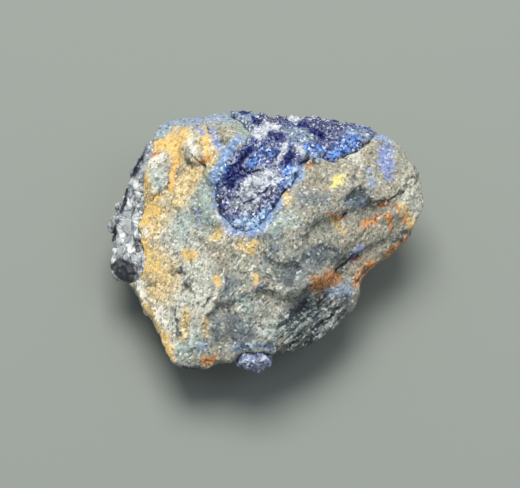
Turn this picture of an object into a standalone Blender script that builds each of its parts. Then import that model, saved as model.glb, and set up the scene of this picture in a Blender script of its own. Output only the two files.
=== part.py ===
"""Azurite specimen: a lump of weathered host rock with azurite grown on it in three places: a druse of
crystals in a pocket that opens on the back edge, a slab of glassy azurite along the left flank, and a knob
under the front edge.

The numbers are millimetres and degrees; make_object turns them into metres. +Z is up, the front faces -Y, and
the lump rests on a flat break at z = 0. Its outline and relief are laid out square-on, on a display plane that
leans back from the front: u runs to the right, v up the plane and w out of it, all from a point inside, the
heart."""

import math
from typing import NamedTuple

import bmesh
import bpy
import numpy as np
from mathutils import Vector, noise

MM = 0.001

# Driving dimensions
DISPLAY_LEAN = 28.0  # of the display plane, back from the horizontal
RIM_LEAN = 12.0  # of the plane round which the display side turns under
HEART = Vector((0.14, -0.45, 14.0))  # so placed that the origin is under the middle of the lump's box
BREAK_TRIM = 1.2  # taken off the underside to make the flat break
FIT_GAP = 0.3  # between the azurite and the rock, which touch on the real lump
EDGE_SHARPNESS = 45.0  # how tightly two facets meet
EDGE_ALLOWANCE = 1.02  # on the outline's reach, for what the rounded edges take off it
RIM_WIDTH = 0.12  # over which the relief fades out, on each side of the rim, as a share of the reach
BORDER_WIDTH = 0.5  # over which a crust rises out of the rock
BED_START = -0.3  # how far inside a crust's border the rock starts to sink under it; negative for outside
GROUND_SIDE = 120.0
CORE = 4.0  # radius of the ball in the middle of the lump that each piece of azurite is drawn down to
SPHERE_DETAIL = 7
ROCK_SHARE_KEPT = 0.070  # of the rock's triangles, once it is thinned
ROCK_FINISH = ((0.33, 0.32, 0.25), 0.85)  # base colour, roughness

RIGHT = Vector((1.0, 0.0, 0.0))
UP = Vector((0.0, math.cos(math.radians(DISPLAY_LEAN)), math.sin(math.radians(DISPLAY_LEAN))))
OUT = RIGHT.cross(UP)
PLANE = np.array([RIGHT[:], UP[:], OUT[:]])
OVER_RIM = Vector((0.0, -math.sin(math.radians(RIM_LEAN)), math.cos(math.radians(RIM_LEAN))))

# The lump's outline on the display plane, (u, v), from the top left corner clockwise
OUTLINE = (
    (-21.6, 21.9), (-19.9, 23.3), (-16.9, 22.6), (-11.5, 22.4), (-6.5, 23.8), (-4.1, 24.0), (0.4, 22.8),
    (5.4, 23.4), (9.7, 23.0), (13.5, 21.0), (21.2, 18.5), (23.0, 17.5), (25.7, 14.2), (27.7, 10.4),
    (28.2, 6.3), (27.6, 2.0), (22.9, -1.4), (18.2, -5.0), (16.3, -6.9), (15.7, -9.6), (14.8, -11.9),
    (12.0, -15.4), (7.8, -18.1), (3.2, -18.9), (1.2, -19.3), (0.4, -20.6), (-1.5, -21.2), (-3.4, -20.8),
    (-4.9, -19.8), (-6.5, -20.4), (-8.6, -21.5), (-12.0, -23.5), (-16.0, -22.0), (-17.6, -18.0),
    (-19.8, -13.6), (-22.2, -9.2), (-24.4, -6.4), (-26.7, -5.4), (-28.7, -4.0), (-28.8, -1.4),
    (-28.6, 1.2), (-27.8, 3.6), (-26.6, 5.7), (-25.5, 7.8), (-24.9, 10.1), (-24.1, 12.4), (-23.7, 15.0),
    (-23.5, 17.8),
)
# The faces that the lump broke along: (u, v, height above the break, azimuth faced, tilt from the level)
FACETS = (
    (3.0, 4.0, 26.5, -70, 9),  # crown
    (-17.0, 0.0, 21.5, 175, 27),  # left slope
    (19.0, 8.0, 22.5, 15, 20),  # right slope
    (-3.0, -13.0, 18.0, -100, 40),  # front slope
    (11.5, -12.5, 15.0, -50, 58),  # front right slope
    (20.5, -1.0, 15.5, -45, 48),  # right bevel
    (6.0, 20.5, 22.0, 85, 36),  # back slope
    (-17.0, 21.5, 20.0, 128, 36),  # back left slope
    (-16.5, -14.0, 13.0, -155, 32),  # front left slope
    (0.0, -21.0, 7.0, -90, 138),  # under the front
    (-24.0, 1.0, 16.5, 176, 48),  # left flank
    (-26.5, 0.0, 8.0, 180, 118),  # under the left
    (-19.0, -16.0, 6.5, -140, 132),  # under the front left
    (26.5, 6.0, 12.0, 0, 122),  # under the right
    (17.5, -10.0, 8.0, -50, 128),  # under the front right
    (2.0, 22.5, 16.0, 90, 102),  # the back
    (-19.0, 20.0, 14.0, 140, 108),  # the back left
    (23.0, 17.5, 15.0, 48, 106),  # the back right
    (0.0, 0.0, -BREAK_TRIM, 0, 180),  # the underside
)

# Roughness of the whole lump. Chips: (size, lean, step, seed)
CHIPS = ((7.0, 0.08, 0.12, 3.0), (2.4, 0.09, 0.12, 8.0))
GRAIN_HEIGHT = 0.30
GRAIN = (3.0, 4, 5.0)  # size, octaves, seed
CRYSTALS = (0.25, 0.25, 13.0)  # lean, step and seed of the chips that stand for crystals
# A crust's border wanders by noise, and more so round the back, where the outline isn't known
WANDER = (6.0, 3, 9.0)  # size, octaves, seed
WANDER_SHOWN = 0.4
WANDER_HIDDEN = 1.8  # added behind the display plane
HIDDEN_FROM = 4.0  # behind the display plane
HIDDEN_FULL = 9.0

# Relief of the display side. Mounds and pits: (u, v, half length, half width, turn, height)
MOUNDS = (
    (-19.6, 11.2, 5.6, 2.4, 80, 1.7),  # boulder by the left edge
    (-12.0, 16.3, 3.8, 3.2, 20, 1.4),  # cracked knuckle
    (-6.6, 19.5, 3.6, 1.9, 75, 1.0),  # rib beside the druse
    (6.4, -4.6, 7.0, 4.4, 22, 1.4),  # smooth swelling
    (-10.6, -11.6, 7.5, 1.3, 52, 1.2),  # slanting ridge
    (-15.0, -13.0, 6.5, 1.3, 60, 0.7),  # ridge beside it
    (-2.4, 10.4, 5.0, 3.2, 50, 1.7),  # glassy boss in the pocket
    (3.6, 17.2, 2.6, 1.6, 70, 0.9),  # boss above it
    (-1.5, -14.5, 6.5, 4.5, 5, 0.7),  # front plate
    (12.8, -9.2, 3.2, 1.6, 30, 1.2),  # head of the front right block
    (24.2, 6.2, 4.4, 1.9, 48, 0.8),  # right hand scale
)
PITS = (
    (16.8, 8.4, 3.2, 1.2, 14, 1.2),  # dark socket
    (8.1, 14.4, 1.8, 0.8, 0, 1.2),  # socket under the druse
    (-0.5, 9.5, 9.0, 5.5, 50, 1.2),  # the pocket
    (-5.4, 12.8, 4.2, 1.2, 55, 2.0),  # its deep side
    (-14.0, -8.2, 1.6, 0.8, 30, 0.8),  # small socket
    (13.5, -4.0, 2.4, 0.9, 42, 1.3),  # blue seam
    (-17.3, 16.5, 3.8, 1.3, 68, 0.7),  # ochre channel, upper
    (-16.6, 11.0, 3.4, 1.0, 80, 0.8),  # ochre channel, lower
    (-22.0, 6.0, 2.6, 1.2, 20, 0.6),  # under the boulder
)
# Open cracks: (half width, depth, points)
CRACKS = (
    (0.45, 1.2, ((-10.9, -11.1), (-9.7, -9.7))),
    (0.35, 0.7, ((-14.6, 14.7), (-13.2, 13.3), (-10.9, 13.5))),
    (0.35, 0.8, ((-17.6, 10.3), (-19.4, 8.9), (-19.1, 7.6))),
    (0.35, 0.8, ((-7.6, 17.2), (-5.4, 14.4))),
    (0.30, 0.5, ((-2.6, 7.4), (-0.4, 8.3), (0.9, 9.8))),
)
# Ledges: (drop, ramp, reach, points), the ground falling on the right hand of somebody walking the points
LEDGES = (
    (1.1, 0.5, 5.0, ((19.4, 7.0), (22.0, 7.2), (24.3, 9.2), (26.8, 11.6))),
    (
        1.5, 0.6, 5.5,
        ((6.0, -9.0), (8.4, -8.2), (11.9, -6.4), (14.2, -3.6), (17.0, -1.6), (21.0, 0.6), (26.8, 3.0)),
    ),
    (1.0, 0.5, 6.0, ((-7.0, -10.6), (-3.8, -8.5), (1.6, -8.2), (4.4, -10.0), (3.2, -15.0))),
    (0.9, 0.5, 5.0, ((11.5, 4.6), (15.0, 6.2), (18.0, 6.6))),
    (
        0.8, 0.8, 5.0,
        ((-21.2, 18.0), (-21.8, 13.0), (-22.8, 8.0), (-23.4, 2.0), (-22.6, -3.2), (-23.0, -7.0)),
    ),
)


class Azurite(NamedTuple):
    """A piece of azurite: it covers what lies inside its outline and above its lowest w."""

    name: str
    thickness: float
    crystal: float  # about how far apart its crystals stand
    share_kept: float  # of the triangles, once it is thinned
    lowest: float
    outline: tuple
    finish: tuple


AZURITE = (
    Azurite(
        name="azurite_druse",
        thickness=2.0,
        crystal=2.3,
        share_kept=0.022,
        lowest=-8.0,
        outline=(
            (-10.5, 30.0), (12.0, 30.0), (24.0, 24.0), (18.9, 18.0), (16.5, 16.7), (12.2, 14.7),
            (10.1, 15.3), (7.9, 15.3), (6.3, 14.2), (5.2, 11.2), (3.1, 9.2), (0.9, 5.2), (-0.8, 3.2),
            (-3.4, 1.9), (-6.6, 3.6), (-8.4, 5.0), (-9.2, 9.0), (-8.9, 12.2), (-6.3, 15.8), (-3.6, 17.6),
            (-2.6, 20.2), (-6.5, 23.6),
        ),
        finish=((0.03, 0.05, 0.25), 0.25),
    ),
    Azurite(
        name="azurite_slab",
        thickness=2.6,
        crystal=4.0,
        share_kept=0.013,
        lowest=-9.0,
        outline=(
            (-20.6, 24.5), (-21.2, 18.0), (-21.8, 13.0), (-22.8, 8.0), (-23.4, 2.0), (-22.6, -3.2),
            (-23.0, -7.0), (-34.0, -7.4), (-34.0, 26.0),
        ),
        finish=((0.10, 0.12, 0.20), 0.20),
    ),
    Azurite(
        name="azurite_knob",
        thickness=1.8,
        crystal=2.0,
        share_kept=0.006,
        lowest=-3.5,
        outline=((-5.6, -20.8), (-4.4, -19.7), (-0.6, -19.5), (1.2, -20.6), (1.8, -30.0), (-6.2, -30.0)),
        finish=((0.20, 0.24, 0.55), 0.50),
    ),
)


# ---- the display plane -------------------------------------------------------------------------------

def place(u, v, w):
    """A point given on the display plane, as seen from the heart."""
    return u * RIGHT + v * UP + w * OUT


def place_at_height(u, v, height):
    """The point over (u, v) of the display plane that is this high above the break."""
    return place(u, v, (height - HEART.z - v * UP.z) / OUT.z)


def on_display_plane(points):
    """The (u, v, w) of each point."""
    return points @ PLANE.T


def ramp(values, low, high):
    """0 below low and 1 above high, with a smooth rise between them."""
    share = np.clip((values - low) / (high - low), 0.0, 1.0)
    return share * share * (3.0 - 2.0 * share)


def segments(points):
    return zip(points[:-1], points[1:])


def nearest_on(points, u, v):
    """For each (u, v): the distance to a line of points, and its side: 1 on the left hand, -1 on the right."""
    best = np.full(len(u), np.inf)
    side = np.ones(len(u))
    for (u0, v0), (u1, v1) in segments(points):
        du, dv = u1 - u0, v1 - v0
        share = np.clip(((u - u0) * du + (v - v0) * dv) / (du * du + dv * dv), 0.0, 1.0)
        across, along = u - u0 - share * du, v - v0 - share * dv
        distance = np.hypot(across, along)
        closer = distance < best
        best = np.where(closer, distance, best)
        side = np.where(closer, np.sign(du * along - dv * across), side)
    return best, side


def depth_inside(outline, u, v):
    """How far each (u, v) lies inside a closed outline; negative outside."""
    closed = outline + outline[:1]
    distance, _ = nearest_on(closed, u, v)
    inside = np.zeros(len(u), bool)
    for (u0, v0), (u1, v1) in segments(closed):
        if v0 != v1:
            crosses = (v0 > v) != (v1 > v)
            inside ^= crosses & (u < u0 + (v - v0) * (u1 - u0) / (v1 - v0))
    return np.where(inside, distance, -distance)


# ---- the lump's surface ------------------------------------------------------------------------------

def over_rim(directions):
    """1 for a direction that leaves the heart on the display side of the rim, and 0 for one under it."""
    return ramp(directions @ np.array(OVER_RIM), -RIM_WIDTH, RIM_WIDTH)


def distance_out(directions):
    """How far from the heart each direction meets the first facet or the outline, edges rounded."""
    on_plane = directions @ PLANE.T
    edge = np.array(OUTLINE)
    edge = edge[np.argsort(np.arctan2(edge[:, 1], edge[:, 0]))]
    reach = np.interp(
        np.arctan2(on_plane[:, 1], on_plane[:, 0]),
        np.arctan2(edge[:, 1], edge[:, 0]),
        np.hypot(edge[:, 0], edge[:, 1]),
        period=2.0 * math.pi,
    )
    nearness = (np.hypot(on_plane[:, 0], on_plane[:, 1]) / (EDGE_ALLOWANCE * reach)) ** EDGE_SHARPNESS
    for u, v, height, azimuth, tilt in FACETS:
        facing, leaning = math.radians(azimuth), math.radians(tilt)
        normal = Vector(
            (math.sin(leaning) * math.cos(facing), math.sin(leaning) * math.sin(facing), math.cos(leaning))
        )
        towards = np.maximum(directions @ np.array(normal), 0.0)
        nearness += (towards / normal.dot(place_at_height(u, v, height))) ** EDGE_SHARPNESS
    return nearness ** (-1.0 / EDGE_SHARPNESS)


def hollow_and_swell(features, u, v):
    """The summed height of a list of mounds or pits."""
    total = np.zeros(len(u))
    for u0, v0, half_length, half_width, turn, height in features:
        angle = math.radians(turn)
        along = (u - u0) * math.cos(angle) + (v - v0) * math.sin(angle)
        across = (v - v0) * math.cos(angle) - (u - u0) * math.sin(angle)
        spread = np.sqrt((along / half_length) ** 2 + (across / half_width) ** 2)
        total += height * (1.0 - ramp(spread, 0.35, 1.25))
    return total


def relief(u, v):
    """Height of the mounds, pits, cracks and ledges of the display side."""
    total = hollow_and_swell(MOUNDS, u, v) - hollow_and_swell(PITS, u, v)
    for half_width, depth, points in CRACKS:
        distance, _ = nearest_on(points, u, v)
        total -= depth * (1.0 - ramp(distance, 0.3 * half_width, 1.6 * half_width))
    for drop, width, reach, points in LEDGES:
        distance, side = nearest_on(points, u, v)
        below = ramp(-side * distance, 0.0, width)
        total -= drop * below * (1.0 - ramp(distance, 0.4 * reach, reach))
    return total


def chips(points, size, lean, step, seed):
    """Flat chips about this size, each leaning its own way and standing a little proud or low."""
    shift = Vector((seed, 2.0 * seed, -seed))
    heights = np.empty(len(points))
    for i, point in enumerate(points):
        here = Vector(point) / size + shift
        site = noise.voronoi(here)[1][0]
        slope = 2.0 * noise.cell_vector(site * 7.3) - Vector((1.0, 1.0, 1.0))
        heights[i] = size * (lean * slope.dot(here - site) + step * noise.noise(site * 5.1))
    return heights


def grain(points, size, octaves, seed):
    """Rough ground between -1 and 1 or so, with its broadest swells about this size."""
    shift = Vector((seed, -seed, 3.0 * seed))
    return np.array([noise.fractal(Vector(point) / size + shift, 0.9, 2.1, octaves) for point in points])


def lump_surface(directions):
    """The whole lump's outer surface, azurite included, as seen from the heart."""
    points = directions * distance_out(directions)[:, None]
    u, v, _ = on_display_plane(points).T
    height = relief(u, v) * over_rim(directions)
    rough = sum(chips(points, *kind) for kind in CHIPS)
    rough += GRAIN_HEIGHT * grain(points, *GRAIN)
    return points + (height + rough)[:, None] * directions


def depth_under(azurite, surface):
    """How far inside a piece of azurite each point of the surface lies; negative outside."""
    u, v, w = on_display_plane(surface).T
    wander = (WANDER_SHOWN + WANDER_HIDDEN * ramp(-w, HIDDEN_FROM, HIDDEN_FULL)) * grain(surface, *WANDER)
    return np.minimum(depth_inside(azurite.outline, u, v), w - azurite.lowest) + wander


# ---- the pieces --------------------------------------------------------------------------------------

def make_material(name, colour, roughness):
    material = bpy.data.materials.new(name)
    material.use_nodes = True
    shader = material.node_tree.nodes["Principled BSDF"]
    shader.inputs["Base Color"].default_value = (*colour, 1.0)
    shader.inputs["Roughness"].default_value = roughness
    return material


def link_object(name, mesh, location):
    obj = bpy.data.objects.new(name, mesh)
    obj.location = location * MM
    bpy.context.scene.collection.objects.link(obj)
    return obj


def make_object(name, ball, points, finish, share_kept):
    """The sphere with its vertices moved to these points about the heart, thinned to a share of itself."""
    mesh = bpy.data.meshes.new(name)
    for vert, point in zip(ball.verts, points):
        vert.co = Vector(point) * MM
    ball.to_mesh(mesh)
    mesh.materials.append(make_material(name, *finish))
    obj = link_object(name, mesh, HEART)
    obj.modifiers.new("thin", "DECIMATE").ratio = share_kept
    return obj


def make_cutter(name, mesh, location):
    obj = link_object(name, mesh, location)
    obj.hide_render = True
    obj.display_type = "WIRE"
    return obj


def cut(obj, cutter, name):
    modifier = obj.modifiers.new(name, "BOOLEAN")
    modifier.operation = "DIFFERENCE"
    modifier.object = cutter


def make_ground():
    """A block under the break, which cuts the lump off flat."""
    ground = bmesh.new()
    bmesh.ops.create_cube(ground, size=GROUND_SIDE * MM)
    mesh = bpy.data.meshes.new("ground")
    ground.to_mesh(mesh)
    return make_cutter("ground", mesh, Vector((0.0, 0.0, -GROUND_SIDE / 2.0)))


def make_rock(ball, directions, surface):
    """The host rock, sunk under each piece of azurite by its thickness."""
    sunk = np.zeros(len(surface))
    for azurite in AZURITE:
        sunk += azurite.thickness * ramp(depth_under(azurite, surface), BED_START, BORDER_WIDTH)
    return make_object("host_rock", ball, surface - sunk[:, None] * directions, ROCK_FINISH, ROCK_SHARE_KEPT)


def make_gap_cutter(rock):
    """The rock, swollen by the gap that the azurite keeps to it."""
    cutter = make_cutter("rock_with_gap", rock.data, HEART)
    cutter.modifiers.new("thin", "DECIMATE").ratio = ROCK_SHARE_KEPT
    swell = cutter.modifiers.new("gap", "DISPLACE")
    swell.strength = FIT_GAP * MM
    swell.mid_level = 0.0
    return cutter


def make_azurite(azurite, ball, directions, surface):
    """A crust of crystals that plunges into the rock all round its border, so that the rock cuts it free."""
    cover = ramp(depth_under(azurite, surface), 0.0, BORDER_WIDTH)[:, None]
    crystals = chips(surface, azurite.crystal, *CRYSTALS)
    crust = surface + crystals[:, None] * directions
    points = cover * crust + (1.0 - cover) * CORE * directions
    return make_object(azurite.name, ball, points, azurite.finish, azurite.share_kept)


def main():
    for obj in list(bpy.data.objects):
        bpy.data.objects.remove(obj)
    ball = bmesh.new()
    bmesh.ops.create_icosphere(ball, subdivisions=SPHERE_DETAIL, radius=1.0)
    directions = np.array([vert.co.normalized()[:] for vert in ball.verts])
    surface = lump_surface(directions)
    rock = make_rock(ball, directions, surface)
    cut(rock, make_ground(), "flat_break")
    gap_cutter = make_gap_cutter(rock)
    for azurite in AZURITE:
        cut(make_azurite(azurite, ball, directions, surface), gap_cutter, "bed")


main()
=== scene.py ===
# %% [markdown]
# # A lump of rock with azurite grown on it
#
# The specimen is one lump of weathered copper ore rock. Azurite, the deep blue copper mineral, has grown
# on it in three places: a druse (a crust of small crystals) in a pocket on the back edge, a glassy slab
# along the left flank and a small knob under the front edge. Each is a solid of its own in the packed
# model, which this lesson dresses: it keeps every solid's size and place, gives it a finer skin, and
# paints that skin with its minerals.

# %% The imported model
import math
import random

import bmesh
import bpy
import numpy as np
from mathutils import Matrix, Vector, noise


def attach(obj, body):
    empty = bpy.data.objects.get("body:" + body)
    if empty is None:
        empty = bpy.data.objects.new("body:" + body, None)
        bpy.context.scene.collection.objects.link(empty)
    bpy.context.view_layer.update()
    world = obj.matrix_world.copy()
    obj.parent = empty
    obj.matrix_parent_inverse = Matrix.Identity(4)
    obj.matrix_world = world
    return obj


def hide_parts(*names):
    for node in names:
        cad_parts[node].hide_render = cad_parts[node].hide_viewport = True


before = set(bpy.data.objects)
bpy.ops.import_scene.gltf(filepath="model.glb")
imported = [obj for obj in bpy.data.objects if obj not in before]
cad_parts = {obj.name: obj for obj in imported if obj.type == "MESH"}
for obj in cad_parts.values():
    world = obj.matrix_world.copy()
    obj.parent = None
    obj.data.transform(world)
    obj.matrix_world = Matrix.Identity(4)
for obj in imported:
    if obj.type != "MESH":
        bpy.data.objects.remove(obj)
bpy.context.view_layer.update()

# %% [markdown]
# ## Where things are
#
# Blender works in metres, and a crystal is a millimetre long, so the shapes below are worked out in
# millimetres from a point in the middle of the lump, the heart. The side that the specimen is shown by
# leans back 28 degrees. On that display plane, u runs to the right, v up it and w out of it, which lets a
# vein or a stain be laid down as on a map. The map is spread from a single point straight out from the
# heart, as a slide projector would, so that it lies where it should on the high and on the low ground
# alike.

# %% The display plane
MM = 0.001
HEART = np.array([0.14, -0.45, 14.0])
LEAN = math.radians(28.0)
RIGHT = np.array([1.0, 0.0, 0.0])
UP = np.array([0.0, math.cos(LEAN), math.sin(LEAN)])
OUT = np.cross(RIGHT, UP)
PLANE = np.array([RIGHT, UP, OUT])
VIEWPOINT = (-1.08, -0.36, 320.0)  # u, v and w of the point that the map is spread from


def place(u, v, w):
    """The point of the scene, in metres, that lies at (u, v, w) on the display plane."""
    return Vector((HEART + u * RIGHT + v * UP + w * OUT) * MM)


def on_map(points):
    """The (u, v) on the map of points given in millimetres from the heart."""
    u, v, w = (points @ PLANE.T).T
    spread = VIEWPOINT[2] / (VIEWPOINT[2] - w)
    return (u - VIEWPOINT[0]) * spread + VIEWPOINT[0], (v - VIEWPOINT[1]) * spread + VIEWPOINT[1]


def ramp(values, low, high):
    """0 below low and 1 above high, with a smooth rise between them."""
    share = np.clip((values - low) / (high - low), 0.0, 1.0)
    return share * share * (3.0 - 2.0 * share)


# %% [markdown]
# ## The camera
#
# The camera looks down on the display side from 62 degrees above the level, through a long lens, as for a
# small thing on a table. It stands at the very point that the map is spread from, so the map can be drawn
# as the lump is seen.

# %% Camera
PICTURE_WIDTH = 93.4 * MM  # how much of the display plane the picture spans
SENSOR = 36.0
NEAREST_SEEN = 10.0 * MM

camera = bpy.data.objects.new("camera", bpy.data.cameras.new("camera"))
bpy.context.scene.collection.objects.link(camera)
camera.location = place(*VIEWPOINT)
camera.rotation_euler = (LEAN, 0.0, 0.0)
camera.data.sensor_width = SENSOR
camera.data.lens = SENSOR * VIEWPOINT[2] * MM / PICTURE_WIDTH
camera.data.clip_start = NEAREST_SEEN
bpy.context.scene.camera = camera
print("the lens is", round(camera.data.lens), "mm long")

# %% [markdown]
# ## Soft light
#
# Rock shows its relief by its shadows, and crystals by their glints, so the light comes mostly from one
# side and from a wide lamp. It stands high behind the lump, which throws the shadow towards the camera. A
# weaker lamp fills in from the right, and a bluish grey sky lifts the shadows. A sun would be simpler,
# but its hard shadows suit an open field.

# %% Lamps and sky
LAMPS = (
    # name, place and side in metres, watts, colour
    ("window", (-0.04, 0.29, 0.78), 0.50, 7.9, (1.0, 0.985, 0.94)),
    ("fill", (0.35, -0.10, 0.60), 0.30, 0.5, (0.92, 0.96, 1.0)),
)
AIM = Vector((0.0, 0.0, 0.01))  # the middle of the lump, in metres
SKY_COLOUR = (0.82, 0.90, 1.0, 1.0)
SKY_STRENGTH = 0.34

for name, location, side, watts, colour in LAMPS:
    light = bpy.data.objects.new(name, bpy.data.lights.new(name, "AREA"))
    light.data.size = side
    light.data.energy = watts
    light.data.color = colour
    light.location = location
    light.rotation_euler = (AIM - light.location).to_track_quat("-Z", "Y").to_euler()
    bpy.context.scene.collection.objects.link(light)
    print("the", name, "lamp is", side, "m wide and gives", watts, "W")
sky = bpy.data.worlds.new("sky")
sky.use_nodes = True
sky.node_tree.nodes["Background"].inputs["Color"].default_value = SKY_COLOUR
sky.node_tree.nodes["Background"].inputs["Strength"].default_value = SKY_STRENGTH
bpy.context.scene.world = sky
bpy.context.scene.view_settings.view_transform = "Standard"

# %% [markdown]
# ## The floor
#
# A plain pale sheet carries the lump and catches its shadow. It is stage and not part of the specimen.

# %% Floor
FLOOR_SIDE = 1.6
FLOOR_COLOUR = (0.265, 0.288, 0.262, 1.0)
FLOOR_ROUGHNESS = 0.9

sheet = bmesh.new()
bmesh.ops.create_grid(sheet, x_segments=1, y_segments=1, size=FLOOR_SIDE / 2)
floor = bpy.data.objects.new("floor", bpy.data.meshes.new("floor"))
sheet.to_mesh(floor.data)
sheet.free()
bpy.context.scene.collection.objects.link(floor)
paint = bpy.data.materials.new("floor")
paint.use_nodes = True
paint.node_tree.nodes["Principled BSDF"].inputs["Base Color"].default_value = FLOOR_COLOUR
paint.node_tree.nodes["Principled BSDF"].inputs["Roughness"].default_value = FLOOR_ROUGHNESS
floor.data.materials.append(paint)
print("the floor is", FLOOR_SIDE, "m wide")

# %% [markdown]
# ## Finishes as sums
#
# A mineral's colour is worked out from many patterns: stains that fade into each other, specks, grain.
# Blender builds that from nodes, which are hard to read in a script when each link is made by hand. So
# one small class wraps a node's output and takes over +, - and *, and a whole pattern can then be written
# as a sum.


# %% Patterns that can be added and multiplied
class Pattern:
    """The output of a node. A sum of patterns adds the Math nodes that work it out."""

    def __init__(self, finish, socket):
        self.finish = finish
        self.socket = socket

    def maths(self, operation, first, second):
        return self.finish.node("ShaderNodeMath", {"operation": operation}, {0: first, 1: second})

    def __add__(self, other):
        return self.maths("ADD", self, other)

    __radd__ = __add__

    def __sub__(self, other):
        return self.maths("SUBTRACT", self, other)

    def __rsub__(self, other):
        return self.maths("SUBTRACT", other, self)

    def __mul__(self, other):
        return self.maths("MULTIPLY", self, other)

    __rmul__ = __mul__


# %% A material and its patterns
class Finish:
    """A material, with the patterns that its finishes are made of."""

    def __init__(self, name):
        self.material = bpy.data.materials.new(name)
        self.material.use_nodes = True
        self.shader = self.material.node_tree.nodes["Principled BSDF"]
        self.here = self.node("ShaderNodeTexCoord", output="Object")

    def node(self, kind, settings=None, inputs=None, output=0):
        """Any node: its settings first, then the values or patterns of its sockets."""
        made = self.material.node_tree.nodes.new(kind)
        for name, value in (settings or {}).items():
            setattr(made, name, value)
        for name, value in (inputs or {}).items():
            self.feed(made.inputs[name], value)
        return Pattern(self, made.outputs[output])

    def feed(self, socket, value):
        """Sets a socket to a plain value, or links a pattern to it."""
        if isinstance(value, Pattern):
            self.material.node_tree.links.new(value.socket, socket)
        else:
            socket.default_value = value

    def set(self, **values):
        """The shader's own sockets, with _ for the spaces of their names."""
        for name, value in values.items():
            self.feed(self.shader.inputs[name.replace("_", " ")], value)

    def cloud(self, size, detail=4.0, rough=0.55, at=None):
        """Soft noise from 0 to 1 with features about this many millimetres across."""
        scale = 1.0 / (size * MM)
        inputs = {"Vector": at or self.here, "Scale": scale, "Detail": detail, "Roughness": rough}
        return self.node("ShaderNodeTexNoise", {}, inputs)

    def cells(self, size, feature="F1", output="Distance", at=None):
        """Cells about this many millimetres across: how far the nearest middle is, or its own colour."""
        inputs = {"Vector": at or self.here, "Scale": 1.0 / (size * MM)}
        return self.node("ShaderNodeTexVoronoi", {"feature": feature}, inputs, output)

    def step(self, value, low, high):
        """0 below low and 1 above high, with a smooth rise between them."""
        inputs = {"Value": value, "From Min": low, "From Max": high}
        return self.node("ShaderNodeMapRange", {"interpolation_type": "SMOOTHSTEP"}, inputs)

    def field(self, name):
        """A field that the mesh carries, one number for each of its points."""
        return self.node("ShaderNodeAttribute", {"attribute_name": name}, output="Fac")

    def blend(self, share, under, over):
        """Over laid on under, as thickly as share says."""
        return self.node("ShaderNodeMix", {"data_type": "RGBA"}, {0: share, 6: under, 7: over}, 2)

    def shade(self, colour, amount):
        """A colour made darker or lighter by an amount that is about 1."""
        return self.node("ShaderNodeVectorMath", {"operation": "SCALE"}, {0: colour, "Scale": amount})

    def bump(self, height, depth, normal=None):
        """The normal of a surface whose relief, in millimetres, is height times depth."""
        inputs = {"Height": height, "Distance": depth * MM, "Strength": 1.0}
        if normal:
            inputs["Normal"] = normal
        return self.node("ShaderNodeBump", {}, inputs)


# %% Colours
def rgb(red, green, blue):
    """A colour given as the eye sees it, from 0 to 255, for a shader, which works with light."""
    return (*((value / 255.0) ** 2.2 for value in (red, green, blue)), 1.0)


# %% [markdown]
# ## A fine skin
#
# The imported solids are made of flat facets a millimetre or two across. A broken stone has a far finer
# surface, so each solid is remeshed into an even net of small squares, and the net is smoothed until the
# facets melt into each other. Every point of that net is then free to be moved in or out, and can carry
# numbers that say which mineral lies there. Smoothing with a modifier and reading its result is quicker
# than moving each point in Python.

# %% A skin from a solid
WELD = 0.001  # millimetres: corners of the solid nearer than this are one


def fine_skin(node, voxel, rounds):
    """A node's solid as an even net, its squares voxel millimetres wide, smoothed this many times."""
    solid = bmesh.new()
    solid.from_mesh(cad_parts[node].data)
    bmesh.ops.remove_doubles(solid, verts=solid.verts, dist=WELD * MM)
    draft = bpy.data.objects.new("draft", bpy.data.meshes.new("draft"))
    solid.to_mesh(draft.data)
    solid.free()
    bpy.context.scene.collection.objects.link(draft)
    net = draft.modifiers.new("net", "REMESH")
    net.mode = "VOXEL"
    net.voxel_size = voxel * MM
    soften = draft.modifiers.new("soften", "SMOOTH")
    soften.iterations = rounds
    skin = bpy.data.meshes.new_from_object(draft.evaluated_get(bpy.context.evaluated_depsgraph_get()))
    bpy.data.objects.remove(draft)
    skin.name = node
    print(node, "has a skin of", len(skin.vertices), "points")
    return skin


# %% A skin's points
def points_of(skin):
    """A skin's points, in millimetres from the heart, and the way that each faces."""
    places = np.empty(3 * len(skin.vertices), np.float32)
    facing = np.empty(3 * len(skin.vertices), np.float32)
    skin.vertices.foreach_get("co", places)
    skin.vertex_normals.foreach_get("vector", facing)
    return places.reshape(-1, 3).astype(float) / MM - HEART, facing.reshape(-1, 3).astype(float)


def move_points(skin, points):
    """Puts a skin's points at these places, in millimetres from the heart, but none under the floor."""
    points[:, 2] = np.maximum(points[:, 2], -HEART[2])
    skin.vertices.foreach_set("co", ((points + HEART) * MM).astype(np.float32).ravel())
    skin.update()


# %% Hollows and edges
HOLLOW_ROUNDS = 3  # how far round a point its surroundings reach, in rounds of averaging


def spread_out(skin, values, rounds):
    """Each point's values averaged with its neighbours' this many times."""
    pairs = np.empty(2 * len(skin.edges), np.int32)
    skin.edges.foreach_get("vertices", pairs)
    one, other = pairs.reshape(-1, 2).T
    count = np.bincount(pairs, minlength=len(values))
    for _ in range(rounds):
        total = [
            np.bincount(one, column[other], len(values)) + np.bincount(other, column[one], len(values))
            for column in values.T
        ]
        values = 0.5 * values + 0.5 * np.array(total).T / count[:, None]
    return values


def hollows(skin):
    """How many millimetres each point lies under the mean of its surroundings: below 0 on an edge."""
    points, facing = points_of(skin)
    return ((spread_out(skin, points, HOLLOW_ROUNDS) - points) * facing).sum(axis=1)


# %% Numbers on a skin, and the finished piece
def carry(skin, **fields):
    """Gives a skin's points named numbers for its finish to read."""
    for name, values in fields.items():
        layer = skin.attributes.new(name, "FLOAT", "POINT")
        layer.data.foreach_set("value", np.asarray(values, np.float32))


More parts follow.
